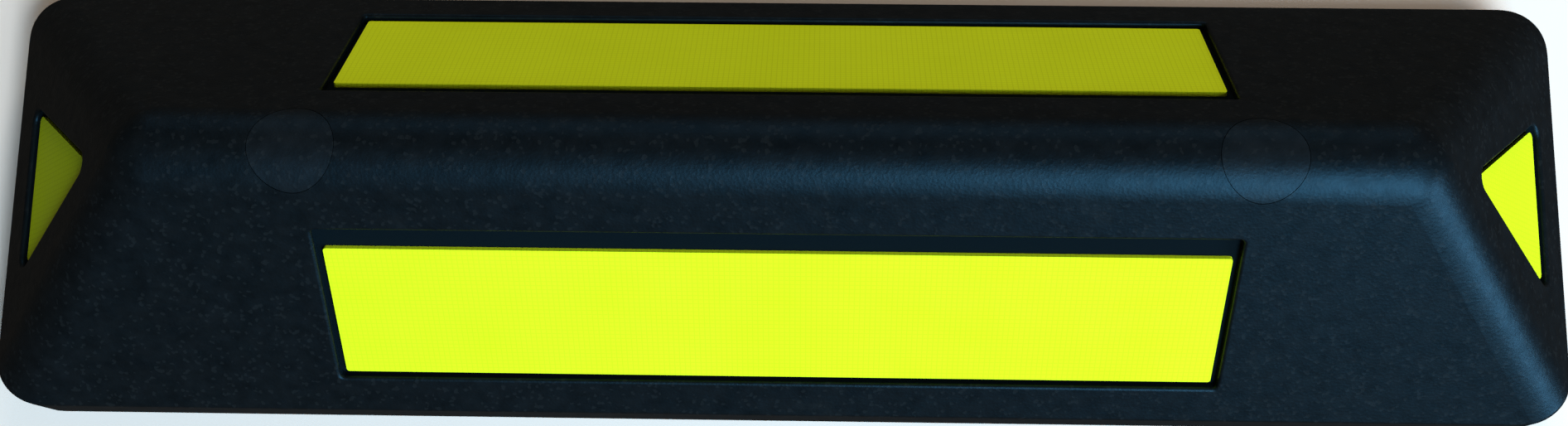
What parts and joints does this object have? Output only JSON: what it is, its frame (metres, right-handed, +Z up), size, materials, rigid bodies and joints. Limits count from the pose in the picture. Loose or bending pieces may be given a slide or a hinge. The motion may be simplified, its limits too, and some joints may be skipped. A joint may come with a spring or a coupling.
{
  "type": "parking wheel stop",
  "caption": "Moulded rubber parking wheel stop with sloped sides, reflective yellow plates and plugged anchor holes on its ridge.",
  "frame": {"origin": "middle of the base, on the ground", "axes": "+X along the block, -Y towards the front slope, +Z up"},
  "size_m": [0.55, 0.15, 0.1],
  "materials": {
    "moulded_rubber": "satin moulded",
    "reflective_yellow": "retroreflective sheet",
    "plug_rubber": "matte moulded",
    "washer_steel": "zinc plated"
  },
  "bodies": {
    "stop": {"rubber_body": "moulded_rubber", "front_panel": "reflective_yellow", "rear_panel": "reflective_yellow", "left_end_panel": "reflective_yellow", "right_end_panel": "reflective_yellow", "seat_washers": "washer_steel"},
    "left_plug": {"left_hole_plug": "plug_rubber"},
    "right_plug": {"right_hole_plug": "plug_rubber"}
  },
  "joints": [
    {"name": "left_plug_lift", "type": "slide", "parent": "stop", "child": "left_plug", "axis": [0, 0, 1], "range_m": [0, 0.045]},
    {"name": "right_plug_lift", "type": "slide", "parent": "stop", "child": "right_plug", "axis": [0, 0, 1], "range_m": [0, 0.045]}
  ]
}
